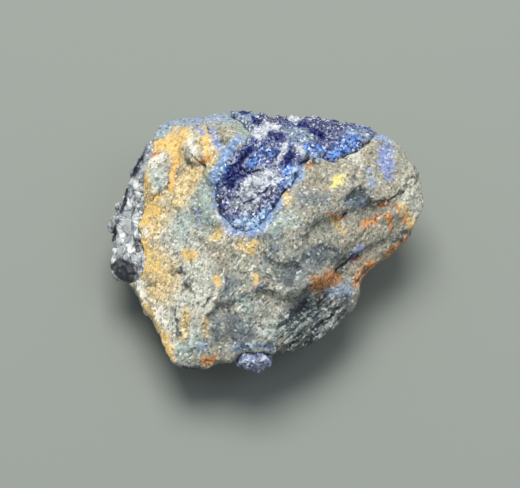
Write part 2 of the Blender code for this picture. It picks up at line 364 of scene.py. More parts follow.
def dress(name, skin, finish):
    """Shows a finished skin in place of the solid of this name."""
    skin.materials.clear()
    skin.materials.append(finish.material)
    skin.shade_smooth()
    piece = bpy.data.objects.new(name + "_skin", skin)
    bpy.context.scene.collection.objects.link(piece)
    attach(piece, "root")
    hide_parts(name)
    print(piece.name, "has", sum(len(face.vertices) - 2 for face in skin.polygons), "triangles")


# %% [markdown]
# ## Roughness of two kinds
#
# Rock breaks in flat chips, each leaning its own way, and every chip is covered with finer grain. Chips
# come from Voronoi cells: all the points that share a nearest site get the height of one tilted plane.
# Grain comes from fractal noise, which adds ever smaller swells. Both read the point's place in space, so
# they run on over edges unbroken.

# %% Chips
LEAN_DRAW = 7.3  # a site times this is where noise gives the lean of its chip
STEP_DRAW = 5.1  # and a site times this is where it gives how proud the chip stands


def chips(points, size, lean, step, seed):
    """The height of flat chips of about this size, each leaning its own way, a little proud or low."""
    shift = Vector((seed, 2.0 * seed, -seed))
    heights = np.empty(len(points))
    for i, point in enumerate(points):
        here = Vector(point) / size + shift
        site = noise.voronoi(here)[1][0]
        slope = 2.0 * noise.cell_vector(site * LEAN_DRAW) - Vector((1.0, 1.0, 1.0))
        heights[i] = size * (lean * slope.dot(here - site) + step * noise.noise(site * STEP_DRAW))
    return heights


def chips_in_layers(points, layers):
    """The height of chips in several layers, for each of which size, lean, step and seed are given."""
    return sum(chips(points, *layer) for layer in layers)


# %% Grain, and lines frayed by it
GRAIN_FADE = 0.8  # how fast the smaller swells grow weaker
GRAIN_FINER = 2.1  # how many times smaller each swell is than the one before
WARP_SIZE = 1.7
WARP_OCTAVES = 4
WARP_SEED = 70.0


def grain(points, size, octaves, seed):
    """Rough ground between -1 and 1 or so, with its broadest swells about this size."""
    shift = Vector((seed, -seed, 3.0 * seed))
    places = [Vector(point) / size + shift for point in points]
    return np.array([noise.fractal(spot, GRAIN_FADE, GRAIN_FINER, octaves) for spot in places])


def warped(points, reach):
    """Points moved about by noise, so that what is drawn straight on the map comes out ragged."""
    shifts = [grain(points, WARP_SIZE, WARP_OCTAVES, WARP_SEED + axis) for axis in range(3)]
    return points + reach * np.array(shifts).T


def nearest(path, u, v):
    """How far each (u, v) lies from a line of points."""
    best = np.full(len(u), np.inf)
    for (u0, v0), (u1, v1) in zip(path[:-1], path[1:]):
        du, dv = u1 - u0, v1 - v0
        share = np.clip(((u - u0) * du + (v - v0) * dv) / (du * du + dv * dv), 0.0, 1.0)
        best = np.minimum(best, np.hypot(u - u0 - share * du, v - v0 - share * dv))
    return best


# %% [markdown]
# ## The rock's relief
#
# Beyond chips and grain the display side has open cracks, low ridges, and on the front right a block that
# weathers in slanting ribs. Each is a line or a patch on the map, and pushes the skin in or out. A crack
# could also be cut out of the solid, but most are only a third of a millimetre wide, about one square of
# the net.

# %% Cracks and ridges
CRACKS = (
    # half width, depth, points
    (0.22, 0.4, ((26.9, 11.7), (25.5, 11.0), (24.8, 9.3), (23.2, 7.9), (19.6, 6.8))),
    (0.24, 0.5, ((-17.6, 10.6), (-19.4, 8.8), (-20.8, 7.3))),
    (0.22, 0.35, ((-13.6, 15.6), (-12.4, 14.7), (-11.0, 13.4))),
    (0.22, 0.35, ((-14.5, 14.7), (-13.3, 13.4))),
    (0.35, 0.5, ((-11.2, -11.2), (-9.7, -9.8))),
    (0.26, 0.3, ((12.7, -5.2), (15.1, -2.9), (16.5, -2.3))),
    (0.35, 0.4, ((15.0, 7.7), (16.9, 9.4), (19.0, 7.6))),
    (0.22, 0.4, ((-14.8, -10.9), (-14.6, -15.4))),
    (0.22, 0.4, ((13.7, 4.4), (14.2, 5.3))),
    (0.35, 0.6, ((-15.4, -5.4), (-14.5, -6.0))),
    (0.35, 0.6, ((-14.9, -7.9), (-13.4, -8.8))),
)
RIDGES = (
    # half width, height, points
    (0.6, 0.40, ((-9.1, -10.2), (-11.3, -14.0), (-13.6, -18.7))),
    (0.7, 0.35, ((-15.5, -9.0), (-18.0, -13.5))),
    (0.5, 0.40, ((15.4, 12.4), (17.2, 11.6))),
    (0.8, 0.30, ((-21.2, 14.2), (-20.6, 10.0), (-19.8, 8.6))),
    (0.6, 0.15, ((2.0, -9.6), (6.4, -8.0), (9.8, -6.6))),
    (0.7, 0.30, ((22.0, 4.2), (25.0, 6.8), (26.2, 8.6))),
    (0.6, 0.20, ((17.0, 2.2), (20.5, 3.8))),
)
CRACK_SIDE = (0.2, 1.8)  # where its side starts to rise and where it ends, in half widths
RIDGE_SIDE = (0.0, 1.8)

# %% Ribs
BLOCK = (4.0, ((5.8, -15.8), (10.2, -12.8)))  # half width and points of the ribbed block
BLOCK_SIDE = (0.75, 1.25)
RIB_TURN = math.radians(37.0)
RIB_WIDTH = 0.75
RIB_LENGTH = 5.0
RIB_DRIFT = 0.2  # how much the ribs change with height
RIB_OCTAVES = 3
RIB_SEED = 31.0


def on_block(u, v):
    """1 on the ribbed block and 0 elsewhere."""
    half_width, path = BLOCK
    return 1.0 - ramp(nearest(path, u, v) / half_width, *BLOCK_SIDE)


def ribs(points, u, v):
    """Slanting ribs between -1 and 1 on the ribbed block, drawn out along its grain, and 0 elsewhere."""
    along = u * math.cos(RIB_TURN) + v * math.sin(RIB_TURN)
    across = v * math.cos(RIB_TURN) - u * math.sin(RIB_TURN)
    drawn_out = np.array([along / RIB_LENGTH, across / RIB_WIDTH, RIB_DRIFT * points[:, 2]]).T
    return on_block(u, v) * grain(drawn_out, 1.0, RIB_OCTAVES, RIB_SEED)


# %% [markdown]
# ## The rock
#
# The map holds only for the side that faces it, so the cracks, ridges and ribs fade out where the rock
# turns away, and chips and grain alone shape the other sides. The net is a third of a millimetre wide: a
# finer one would pass the number of triangles that a piece may have.

# %% Build the rock
RIB_HEIGHT = 0.40
RELIEF_WARP = 0.5
SHOWN_FACING = (-0.25, 0.05)  # how squarely a point faces the display side where the map starts to count
ROCK_NET = 0.31
ROCK_ROUNDS = 12
ROCK_CHIPS = (
    # size, lean, step, seed
    (3.6, 0.04, 0.03, 21.0),
    (1.3, 0.09, 0.05, 4.0),
)
ROCK_GRAIN = (0.9, 4, 2.0)  # size, octaves, seed
ROCK_GRAIN_HEIGHT = 0.11


def shown_side(facing):
    """1 where a point faces the display side, and 0 where it is turned under or away."""
    return ramp(facing @ OUT, *SHOWN_FACING)


def rock_relief(points, facing):
    """How far the rock's skin is pushed out, in millimetres."""
    u, v = on_map(warped(points, RELIEF_WARP))
    named = RIB_HEIGHT * ribs(points, u, v)
    for half_width, depth, path in CRACKS:
        named -= depth * (1.0 - ramp(nearest(path, u, v) / half_width, *CRACK_SIDE))
    for half_width, height, path in RIDGES:
        named += height * (1.0 - ramp(nearest(path, u, v) / half_width, *RIDGE_SIDE))
    rough = chips_in_layers(points, ROCK_CHIPS) + ROCK_GRAIN_HEIGHT * grain(points, *ROCK_GRAIN)
    return shown_side(facing) * named + rough


rock = fine_skin("host_rock", ROCK_NET, ROCK_ROUNDS)
rock_points, rock_facing = points_of(rock)
relief = rock_relief(rock_points, rock_facing)
move_points(rock, rock_points + relief[:, None] * rock_facing)
print("the relief runs from", relief.min().round(2), "to", relief.max().round(2), "mm")

# %% [markdown]
# ## The map of the minerals
#
# The colours are what tells this specimen from another: rust and ochre where iron has weathered out, pale
# green malachite, films of blue where azurite has only stained the rock, slate-grey and tan patches of
# the rock itself. Each mineral gets a list of strokes on the map, a stroke being a half width and the
# line that it is drawn along. A skin point then carries a number for each mineral: 1 in the middle of a
# stroke, 0 at its edge, less beyond. The finish breaks the edge up with noise, so a stroke doesn't look
# drawn. The sides that the map can't reach carry the same minerals in patches of their own, placed by
# noise.

# %% [markdown]
# ## Strokes of the bare rock
#
# Four kinds of ground lie under the rest: a chalky crust, honey-coloured and tan weathered rock, and the
# slate-grey rock where it is fresh. Their strokes are wide and run into each other, for none of them has
# a sharp border.

# %% Strokes of the bare rock
CHALK = (
    (2.0, ((-20.5, 12.9), (-19.4, 9.0))),
    (2.7, ((-19.0, 3.2), (-15.4, 0.4))),
    (1.6, ((-14.7, 6.5), (-16.2, 9.3))),
    (2.7, ((-15.8, -10.4), (-19.0, -13.3), (-18.0, -17.2))),
    (2.3, ((-12.6, -3.6), (-11.1, -8.3), (-12.6, -11.5))),
    (1.6, ((-14.7, -18.0), (-12.6, -16.2))),
    (1.3, ((-13.6, 18.3), (-12.2, 16.5))),
    (1.6, ((25.5, 9.7), (26.2, 5.4))),
    (1.6, ((-20.8, 13.6), (-19.4, 8.6))),
    (1.8, ((-19.7, 12.6), (-19.7, 9.3))),
    (1.6, ((-0.4, -15.8), (2.2, -15.1))),
    (0.9, ((2.5, -8.6), (2.7, -10.4))),
    (1.1, ((15.4, 17.2), (16.2, 15.1))),
)
HONEY = (
    (1.6, ((-22.6, 5.4), (-19.0, 5.0))),
    (1.3, ((-21.5, 8.3), (-22.3, 10.8))),
    (2.2, ((-20.8, -2.5), (-18.3, -6.1), (-19.0, -8.6))),
    (1.4, ((-10.8, 18.7), (-10.1, 15.1))),
    (1.6, ((-12.6, 13.3), (-14.7, 10.4), (-15.8, 7.5))),
    (1.3, ((-21.2, 0.7), (-19.7, 2.9))),
    (0.7, ((3.6, 9.3), (3.4, 7.0))),
    (0.7, ((-14.2, -12.6), (-15.1, -17.2))),
    (0.9, ((-4.3, -1.1), (-2.2, -0.7))),
    (0.5, ((-11.0, -13.6), (-10.8, -16.5))),
    (0.7, ((-9.3, 1.1), (-7.2, 2.5))),
    (0.9, ((-21.5, -10.4), (-20.5, -13.6), (-19.0, -17.2))),
    (0.8, ((24.8, 6.1), (26.2, 3.1))),
    (0.5, ((12.2, 3.6), (14.4, 1.8))),
    (0.7, ((-20.5, 7.9), (-18.0, 9.0))),
    (0.7, ((11.0, -16.0), (11.7, -15.8))),
    (1.1, ((-23.2, 1.1), (-22.3, -5.0))),
)
TAN = (
    (1.3, ((-10.4, -0.4), (-7.5, 1.4))),
    (1.1, ((-6.1, 0.4), (-2.9, 1.1))),
    (3.1, ((7.9, 9.7), (14.2, 14.4), (18.7, 16.2))),
    (2.5, ((20.1, 7.2), (24.4, 9.3))),
    (2.2, ((23.2, 3.6), (15.4, 0.7), (12.6, -1.8))),
    (1.6, ((16.9, -4.7), (20.1, -1.8))),
    (1.4, ((21.2, 13.8), (24.4, 11.5))),
    (1.3, ((-9.7, -1.8), (-7.9, -3.6))),
    (1.1, ((6.1, 12.6), (4.3, 7.5))),
    (1.1, ((-11.1, -21.5), (-9.3, -20.8))),
    (1.1, ((-6.1, 20.5), (-7.2, 18.3))),
)
SLATE = (
    (2.3, ((4.3, -6.1), (6.1, -3.6), (9.7, -2.5))),
    (1.4, ((9.3, -1.4), (12.6, -2.5))),
    (2.5, ((-5.7, -15.1), (-3.2, -16.2))),
    (1.1, ((-9.0, -13.3), (-8.6, -17.2))),
    (1.3, ((15.1, 7.5), (18.0, 8.3))),
    (1.3, ((-6.1, -7.5), (-7.2, -9.7))),
    (1.3, ((6.8, 8.1), (10.1, 7.5))),
    (1.4, ((7.2, -10.4), (4.3, -13.6))),
    (1.1, ((1.8, -0.7), (0.4, -2.9))),
    (0.9, ((-0.7, 1.1), (2.5, 1.4))),
)

# %% [markdown]
# ## Strokes of crusts
#
# Malachite is the pale green copper mineral, and the steel-blue patches look like a blend of it with
# azurite. Cream is the palest crust, on the highest ground. These strokes are narrower than those of the
# bare rock, and they end more sharply.

# %% Strokes of crusts
MALACHITE = (
    (2.0, ((-10.4, 10.8), (-10.8, 6.8), (-10.1, 3.6))),
    (1.3, ((-20.5, 11.8), (-19.4, 9.3))),
    (1.1, ((-19.6, 19.7), (-17.6, 20.3))),
    (1.6, ((-15.1, -19.4), (-12.6, -18.3))),
    (0.9, ((-7.2, 21.9), (-3.6, 20.1))),
    (1.4, ((-14.4, 4.8), (-15.1, 1.3))),
    (1.3, ((1.4, 2.9), (4.3, 4.7))),
    (1.1, ((-4.7, -10.4), (-2.9, -11.8))),
    (1.1, ((0.7, -16.5), (2.5, -15.1))),
)
STEEL = (
    (1.2, ((-19.7, 20.5), (-16.9, 21.9), (-11.1, 22.3))),
    (0.9, ((-11.1, 22.1), (-7.2, 22.6), (-2.9, 22.8))),
    (0.7, ((-22.3, 16.5), (-20.8, 18.3))),
    (0.9, ((-8.6, 17.6), (-7.2, 15.4))),
    (1.0, ((1.4, 9.0), (2.2, 6.5))),
    (0.5, ((18.1, 13.3), (19.4, 10.1))),
    (0.5, ((20.1, 18.5), (22.6, 18.1))),
    (0.5, ((-12.4, 6.1), (-12.0, 3.2))),
    (1.4, ((11.5, -8.6), (14.4, -9.0))),
    (0.7, ((15.4, 7.0), (17.6, 6.8))),
    (0.5, ((-12.0, -19.2), (-10.4, -18.7))),
    (0.7, ((-5.9, -19.0), (-2.5, -18.7), (1.1, -19.0))),
)
CREAM = (
    (1.1, ((-21.7, 14.7), (-19.0, 15.6))),
    (0.5, ((-21.7, 2.9), (-21.5, 1.8))),
    (0.8, ((-21.9, -9.3), (-21.2, -10.6))),
    (1.1, ((-19.4, -12.2), (-18.0, -14.4))),
    (0.6, ((-10.2, -11.8), (-9.3, -10.2))),
    (0.7, ((2.2, -8.8), (3.2, -10.8))),
    (0.8, ((-14.2, 18.7), (-13.1, 16.9))),
    (0.7, ((-18.1, -17.2), (-16.9, -18.5))),
    (0.7, ((11.8, -14.7), (14.4, -12.0))),
    (0.5, ((21.2, 18.5), (22.4, 18.3))),
    (0.4, ((13.3, 11.7), (13.8, 12.0))),
    (0.5, ((-9.0, 5.4), (-8.4, 4.5))),
    (0.5, ((-14.0, -8.3), (-12.6, -7.5))),
    (0.4, ((-20.5, 20.3), (-20.1, 19.9))),
    (0.6, ((10.1, -15.4), (12.0, -15.3))),
    (0.7, ((-22.6, -7.2), (-22.6, -8.6))),
    (0.5, ((-4.7, -12.2), (-5.0, -10.8))),
)

# %% [markdown]
# ## Strokes of iron
#
# Ochre and rust are what is left of the iron minerals, a powder that gathers in the dips and along the
# cracks. The yellow spot is brighter than any other place of the rock, so it counts as a mineral of its
# own.

# %% Strokes of iron
OCHRE = (
    (0.9, ((-14.4, 19.7), (-15.4, 18.7))),
    (1.6, ((-15.8, 18.7), (-16.9, 17.1))),
    (0.9, ((-18.0, 17.6), (-20.1, 17.1))),
    (1.3, ((-16.2, 16.5), (-16.0, 15.1))),
    (0.5, ((-16.2, 14.0), (-16.9, 11.5), (-17.2, 9.5))),
    (0.6, ((-21.5, 12.7), (-21.5, 10.1))),
    (0.6, ((-23.2, 8.8), (-23.0, 6.6))),
    (1.1, ((-22.6, 5.7), (-19.7, 5.6))),
    (1.1, ((-23.3, 3.9), (-21.4, 3.9))),
    (0.6, ((-22.3, 0.4), (-21.4, -3.6), (-22.1, -5.6))),
    (1.1, ((-14.0, -2.2), (-13.3, -2.5))),
    (0.8, ((-18.3, -16.5), (-17.2, -20.8))),
    (0.4, ((-21.2, -12.0), (-20.3, -13.6))),
    (0.5, ((-2.3, -6.3), (-1.8, -7.5))),
    (0.4, ((-2.5, 0.4), (-2.2, -2.2))),
    (0.5, ((-8.8, -6.1), (-8.6, -7.5))),
    (0.5, ((-10.8, 18.7), (-10.4, 16.2))),
    (0.7, ((26.6, 2.9), (27.8, 1.8))),
    (0.5, ((-20.5, -5.0), (-19.0, -3.6))),
    (0.4, ((-20.5, 7.4), (-19.0, 7.9))),
)
RUST = (
    (0.6, ((-16.2, 14.4), (-16.9, 11.5), (-17.2, 9.7))),
    (0.9, ((17.8, 3.1), (19.7, 4.1))),
    (0.5, ((12.6, 4.1), (14.0, 4.5))),
    (0.4, ((20.6, 6.8), (22.3, 7.5))),
    (0.5, ((21.9, 4.7), (22.3, 2.5))),
    (1.4, ((9.0, -7.9), (10.6, -7.0), (12.0, -6.3))),
    (1.0, ((27.3, 1.8), (25.5, 0.4))),
    (0.7, ((25.5, 0.4), (23.2, -1.3), (21.5, -2.3))),
    (1.0, ((16.5, -7.2), (17.8, -5.4), (19.2, -4.1))),
    (0.6, ((15.4, -2.9), (16.7, -2.7))),
    (0.5, ((6.8, 13.5), (8.3, 13.8))),
    (0.5, ((-11.0, -21.5), (-9.5, -20.8))),
    (0.4, ((23.0, 6.6), (24.4, 5.4))),
    (0.4, ((-20.8, 15.4), (-19.4, 16.2))),
    (0.5, ((-10.4, 15.4), (-11.5, 14.2))),
    (0.5, ((24.4, 3.6), (25.5, 4.7))),
    (0.4, ((11.5, 5.0), (12.7, 5.4))),
)
YELLOW = (
    (0.3, ((11.8, 10.1), (12.2, 10.4))),
    (1.0, ((12.7, 11.1), (13.1, 11.3))),
)

# %% [markdown]
# ## Strokes of azurite stain and of painted shade
#
# Near the crystals azurite has soaked into the rock: a light blue film, the widest of it near the right
# end, a pale halo round the druse, and indigo where it is thickest. The dark strokes are painted shade in
# narrow gaps and sockets of the rock that no light reaches, cheaper as colour than as deep cuts in the
# net, and on the ribbed block they are its own dark colour and painted shade together.

# %% Strokes of azurite stain and of painted shade
FILM = (
    (1.4, ((21.4, 16.3), (21.5, 13.6))),
    (0.5, ((21.9, 12.6), (22.1, 11.7))),
    (0.5, ((-9.7, 20.5), (-9.3, 19.4))),
    (0.5, ((-9.0, 18.3), (-8.6, 16.7))),
    (0.6, ((15.3, -2.0), (16.9, -1.1))),
    (0.5, ((-22.3, 16.9), (-21.0, 19.0))),
    (0.5, ((-12.2, 20.5), (-11.5, 19.4))),
    (0.7, ((-5.4, 23.3), (-2.5, 23.2))),
)
HALO = (
    (0.9, ((-5.0, 18.3), (-6.8, 15.8), (-8.3, 12.9))),
    (0.7, ((-8.6, 13.6), (-9.3, 10.8), (-9.0, 8.3))),
    (0.8, ((6.1, 14.0), (5.6, 11.5), (3.6, 9.7))),
    (0.8, ((3.2, 9.7), (1.8, 7.5), (0.7, 5.4))),
    (1.1, ((0.7, 5.4), (-0.4, 3.6), (-2.5, 2.0))),
    (1.1, ((-2.9, 1.8), (-4.7, 2.2), (-6.5, 2.7))),
    (0.6, ((-7.2, 3.6), (-8.3, 5.4), (-9.0, 7.2))),
    (0.3, ((16.9, 17.1), (14.2, 15.8), (11.8, 15.3), (7.0, 15.1))),
    (0.6, ((21.5, 19.4), (18.0, 19.0))),
)
INDIGO = (
    (0.5, ((13.3, -4.7), (14.4, -3.6), (16.3, -2.5))),
    (0.4, ((-11.3, -11.3), (-9.9, -9.9))),
    (0.4, ((-12.7, 5.4), (-12.6, 6.1))),
    (0.6, ((-14.7, -22.8), (-12.7, -22.8))),
    (0.5, ((-21.5, 18.0), (-20.6, 19.4))),
    (0.3, ((-7.4, -6.3), (-7.2, -7.5))),
    (0.5, ((7.9, -13.6), (10.1, -14.2))),
    (0.2, ((-1.8, -8.3), (0.4, -7.9))),
    (0.3, ((13.8, 4.5), (14.2, 5.2))),
    (0.3, ((-10.6, 20.5), (-9.7, 19.7))),
)
# Painted shade in gaps and sockets; on the ribbed block, its dark colour and painted shade together.
DARK_AND_SHADE = (
    (0.8, ((15.4, 7.4), (17.1, 8.8), (18.7, 7.2))),
    (2.0, ((6.1, -18.0), (10.1, -15.8), (12.6, -13.3))),
    (1.6, ((4.7, -15.8), (7.5, -12.9), (9.7, -11.8))),
    (1.1, ((14.4, -10.1), (14.0, -12.9))),
    (0.7, ((7.5, 14.4), (9.3, 14.4))),
    (0.4, ((12.7, -5.2), (15.1, -2.9))),
    (0.3, ((27.3, 11.7), (25.5, 11.0), (24.8, 9.3), (23.2, 7.9), (19.6, 6.8))),
    (0.3, ((-17.4, 10.2), (-18.7, 8.8), (-19.7, 7.2))),
    (0.3, ((-14.0, 14.9), (-12.7, 13.8), (-11.0, 13.3))),
    (0.4, ((-15.8, -5.2), (-14.7, -4.7))),
    (0.4, ((-14.7, -8.6), (-13.6, -7.7))),
    (0.3, ((-23.9, 0.4), (-23.2, -1.1))),
    (0.3, ((15.8, 12.7), (15.8, 11.1))),
    (0.5, ((9.0, -1.1), (11.5, -0.9), (12.9, -1.8))),
    (0.4, ((6.5, -8.8), (7.9, -7.9))),
    (0.3, ((-16.2, -11.5), (-15.8, -16.9))),
    (0.6, ((1.8, -19.7), (4.3, -19.4))),
    (0.7, ((0.7, -18.5), (3.2, -19.0))),
    (0.5, ((-13.6, -23.0), (-11.8, -22.4))),
    (0.3, ((23.7, 1.4), (25.9, 1.8))),
    (0.5, ((22.6, 0.4), (24.4, 0.4))),
    (0.3, ((16.5, -7.2), (18.0, -4.7))),
)

# %% [markdown]
# ## From strokes to numbers on the skin
#
# Every point is asked how far it lies from each stroke. First the points are moved about by noise, which
# frays the strokes. Where the skin turns away from the display side the map would be smeared down the
# flank, so there its number fades into that of the noise patches.

# %% Numbers of the minerals
MAPPED = {
    # strokes; then, for the sides off the map, the size of the patches and how far they reach
    "chalk": (CHALK, 9.0, -0.65),
    "honey": (HONEY, 8.0, -0.80),
    "tan": (TAN, 9.0, -0.50),
    "slate": (SLATE, 8.0, -0.70),
    "malachite": (MALACHITE, 7.0, -0.85),
    "steel": (STEEL, 6.0, -1.25),
    "cream": (CREAM, 4.0, -1.05),
    "ochre": (OCHRE, 7.0, -1.25),
    "rust": (RUST, 5.0, -1.35),
    "yellow": (YELLOW, 3.0, -2.25),
    "film": (FILM, 5.0, -1.55),
    "halo": (HALO, 4.0, -1.85),
    "indigo": (INDIGO, 3.0, -1.65),
    "dark_and_shade": (DARK_AND_SHADE, 4.0, -1.25),
}
BARE = -2.0  # a mineral's number where none of it is near
MINERAL_WARP = 0.7
PATCH_CONTRAST = 2.2
PATCH_OCTAVES = 3
PATCH_SEED = 40.0
COARSE_FROM = (-12.0, 2.0)  # the u at which the rock starts to be coarser, and where it is coarsest


def stroke_field(strokes, u, v):
    """1 along the middle of each stroke, 0 at its edge, and less beyond."""
    field = np.full(len(u), BARE)
    for half_width, path in strokes:
        field = np.maximum(field, 1.0 - nearest(path, u, v) / half_width)
    return field


def mineral_fields(points, facing):
    """For each mineral by name, its number at each point."""
    u, v = on_map(warped(points, MINERAL_WARP))
    shown = shown_side(facing)
    fields = {}
    for seed, (name, (strokes, size, reach)) in enumerate(MAPPED.items()):
        patches = PATCH_CONTRAST * grain(points, size, PATCH_OCTAVES, PATCH_SEED + seed)
        off_map = np.clip(patches + reach, BARE, 1.0)
        fields[name] = shown * stroke_field(strokes, u, v) + (1.0 - shown) * off_map
    return fields


rock_points, _ = points_of(rock)
u, v = on_map(rock_points)
carry(rock, hollow=hollows(rock), coarse=ramp(u, *COARSE_FROM))
carry(rock, block=on_block(u, v), rib=ribs(rock_points, u, v))
carry(rock, **mineral_fields(rock_points, rock_facing))
print(sum(len(strokes) for strokes, _, _ in MAPPED.values()), "strokes lie on the rock")

# %% [markdown]
# ## Three helpers for a mineral's finish
#
# A broken mineral sparkles because its small faces lean every way. Modelled one by one they would be
# millions, so facets tilts the normal of the surface by a vector of its own in each Voronoi cell. A stain
# adds noise to a field of the skin before the number is cut off, which tears its edge. Fibres are noise
# read in squeezed coordinates, and give the rock its slanting streaks.


# %% Facets, stains and fibres
def facets(finish, size, tilt):
    """Facets of about this size: the normal of the surface with each tilted, and each one's own number."""
    colour = finish.cells(size, output="Color")
    away = finish.node("ShaderNodeVectorMath", {"operation": "SUBTRACT"}, {0: colour, 1: (0.5, 0.5, 0.5)})
    away = finish.node("ShaderNodeVectorMath", {"operation": "SCALE"}, {0: away, "Scale": tilt})
    normal = finish.node("ShaderNodeNewGeometry", output="Normal")
    normal = finish.node("ShaderNodeVectorMath", {"operation": "ADD"}, {0: normal, 1: away})
    normal = finish.node("ShaderNodeVectorMath", {"operation": "NORMALIZE"}, {0: normal})
    return normal, finish.node("ShaderNodeSeparateColor", {}, {0: colour})


def stain(finish, name, tear, low, high):
    """How thickly a mineral lies, from 0 to 1, with its edge torn by a pattern."""
    return finish.step(finish.field(name) + tear, low, high)


def fibres(finish, turn, length, width):
    """Noise drawn out into fibres that run up the display plane at this turn, from 0 to 1."""
    along = math.cos(turn) * RIGHT + math.sin(turn) * UP
    across = math.cos(turn) * UP - math.sin(turn) * RIGHT
    sides = {}
    for number, (way, size) in enumerate(((along, length), (across, width), (OUT, width))):
        measure = {0: finish.here, 1: tuple(way / (size * MM))}
        sides[number] = finish.node("ShaderNodeVectorMath", {"operation": "DOT_PRODUCT"}, measure, "Value")
    return finish.cloud(1.0 / MM, 4.0, 0.65, finish.node("ShaderNodeCombineXYZ", {}, sides))


# %% [markdown]
# ## The rock's ground colour
#
# No rock has one colour. It is a mass of grains from a third of a millimetre to three, so the ground
# starts as grey-green and takes eight kinds of grain, each in places of its own, and then light and dark
# streaks. The minerals of the strokes are laid on that one after another, the widest first and the
# painted shade of the dark crevices last.

# %% Ground colour of the rock
STONE_STREAKS = (math.radians(50.0), 2.2, 0.42)  # turn, length, width
BLOCK_FIBRES = (RIB_TURN, 2.0, 0.32)

stone = Finish("host_rock")
grit = stone.cloud(0.36, 3.0, 0.75)
speckle = stone.cloud(0.50, 5.0, 0.70)
streak = fibres(stone, *STONE_STREAKS)
ragged = (stone.cloud(1.4, 6.0, 0.75) - 0.5) * 1.5 + (streak - 0.5) * 1.3  # tears the edges of stains
ragged += (speckle - 0.5) * 0.9 + (grit - 0.5) * 0.5
GRAINS = (
    # colour, size, where it starts, where it is full, how thick
    (rgb(182, 176, 154), 3.0, 0.40, 0.62, 0.45),
    (rgb(138, 150, 148), 1.7, 0.44, 0.64, 0.35),
    (rgb(206, 176, 152), 1.5, 0.46, 0.68, 0.50),
    (rgb(148, 168, 186), 1.3, 0.46, 0.68, 0.50),
    (rgb(184, 190, 156), 1.1, 0.46, 0.68, 0.40),
    (rgb(212, 208, 192), 0.50, 0.50, 0.66, 0.50),
    (rgb(108, 116, 112), 0.36, 0.52, 0.66, 0.50),
    (rgb(206, 160, 108), 0.80, 0.56, 0.70, 0.40),
)
ground = rgb(160, 160, 142)
for number, (colour, size, start, full, most) in enumerate(GRAINS):
    shift = (number * 0.7, 0.3, 0.1)  # metres, so that no two kinds of grain share their places
    elsewhere = stone.node("ShaderNodeVectorMath", {"operation": "ADD"}, {0: stone.here, 1: shift})
    amount = stone.step(stone.cloud(size, 4.0, 0.65, elsewhere), start, full) * most
    ground = stone.blend(amount, ground, colour)
ground = stone.blend(stone.step(streak, 0.54, 0.68) * 0.45, ground, rgb(208, 208, 198))
ground = stone.blend(stone.step(streak, 0.46, 0.34) * 0.40, ground, rgb(110, 116, 116))

# %% The minerals on the ground
STONE_LAYERS = (
    # name, colour, field at its thin edge, field where it is thick, how thick, how torn
    ("tan", rgb(174, 164, 142), -1.0, 0.9, 0.60, 1.0),
    ("slate", rgb(104, 117, 126), -0.8, 0.9, 0.78, 1.0),
    ("chalk", rgb(228, 228, 212), -1.0, 1.0, 0.68, 1.0),
    ("malachite", rgb(164, 186, 182), -0.9, 1.0, 0.68, 1.0),
    ("honey", rgb(240, 208, 142), -1.0, 0.8, 0.80, 0.5),
    ("cream", rgb(248, 242, 224), -0.4, 0.8, 0.80, 1.2),
    ("steel", rgb(146, 164, 190), -0.7, 0.8, 0.84, 1.0),
    ("rust", rgb(222, 142, 68), -0.6, 0.8, 0.86, 0.9),
    ("film", rgb(124, 148, 212), -0.6, 0.8, 0.78, 0.8),
    ("halo", rgb(128, 168, 226), -0.8, 0.9, 0.75, 1.0),
    ("indigo", rgb(46, 50, 104), -0.4, 0.6, 0.75, 1.0),
    # painted shade of the crevices, and on the ribbed block its dark colour with painted shade
    ("dark_and_shade", rgb(52, 66, 72), -0.7, 0.9, 0.80, 1.0),
)
for name, colour, thin, thick, most, torn in STONE_LAYERS:
    ground = stone.blend(stain(stone, name, ragged * torn, thin, thick) * most, ground, colour)
block = stone.field("block")
fibre = fibres(stone, *BLOCK_FIBRES) + stone.field("rib") * 0.25
ground = stone.blend(stone.step(fibre, 0.50, 0.62) * block * 0.60, ground, rgb(178, 192, 190))
ground = stone.blend(stone.step(fibre, 0.50, 0.40) * block * 0.90, ground, rgb(42, 56, 64))
print("the ground colour takes", len(stone.material.node_tree.nodes), "nodes")

# %% [markdown]
# ## Grain, flecks and painted shade
#
# Fine grain gives a stone its bite, and it has to be uneven: coarse on the right, where the rock is
# fresh, and fine on the chalky left. Its pale flecks are partly pale grains and partly painted glints.
# Ochre and yellow come after it, because they are powders that cover it. Painted shade that darkens the
# hollows, and sharp edges made lighter, come last. The bump is only for what is finer than the skin's net.

# %% Grain, flecks and painted shade
facet, kind = facets(stone, 0.40, 0.75)
# Pale flecks: partly pale grains and partly painted glints, and less rough than the rest.
pale_grains_and_glints = stone.step(kind, 0.88, 0.92)
dark_flecks = stone.step(kind, 0.14, 0.10)
ground = stone.blend(pale_grains_and_glints * 0.35, ground, rgb(246, 244, 234))
ground = stone.blend(dark_flecks * 0.35, ground, rgb(62, 68, 72))
# Painted shade: the colour is darkened in the hollows. The sharp edges are made lighter.
hollow_shade = stone.step(stone.field("hollow"), 0.010, 0.075) * 0.40
lighter_edges = stone.step(stone.field("hollow"), -0.015, -0.080) * 0.20
coarse = stone.field("coarse")
patchy = (grit - 0.5) * (0.60 + coarse * 0.8 + block * 1.2)
patchy += (kind - 0.5) * (0.22 + coarse * 0.25 + block * 0.3)
ground = stone.shade(ground, 1.0 + patchy + (streak - 0.5) * 0.9)
ground = stone.blend(stain(stone, "ochre", ragged * 0.6, -0.5, 0.7) * 0.86, ground, rgb(254, 210, 124))
ground = stone.blend(stain(stone, "yellow", ragged * 0.6, -0.3, 0.3) * 0.92, ground, rgb(250, 240, 150))
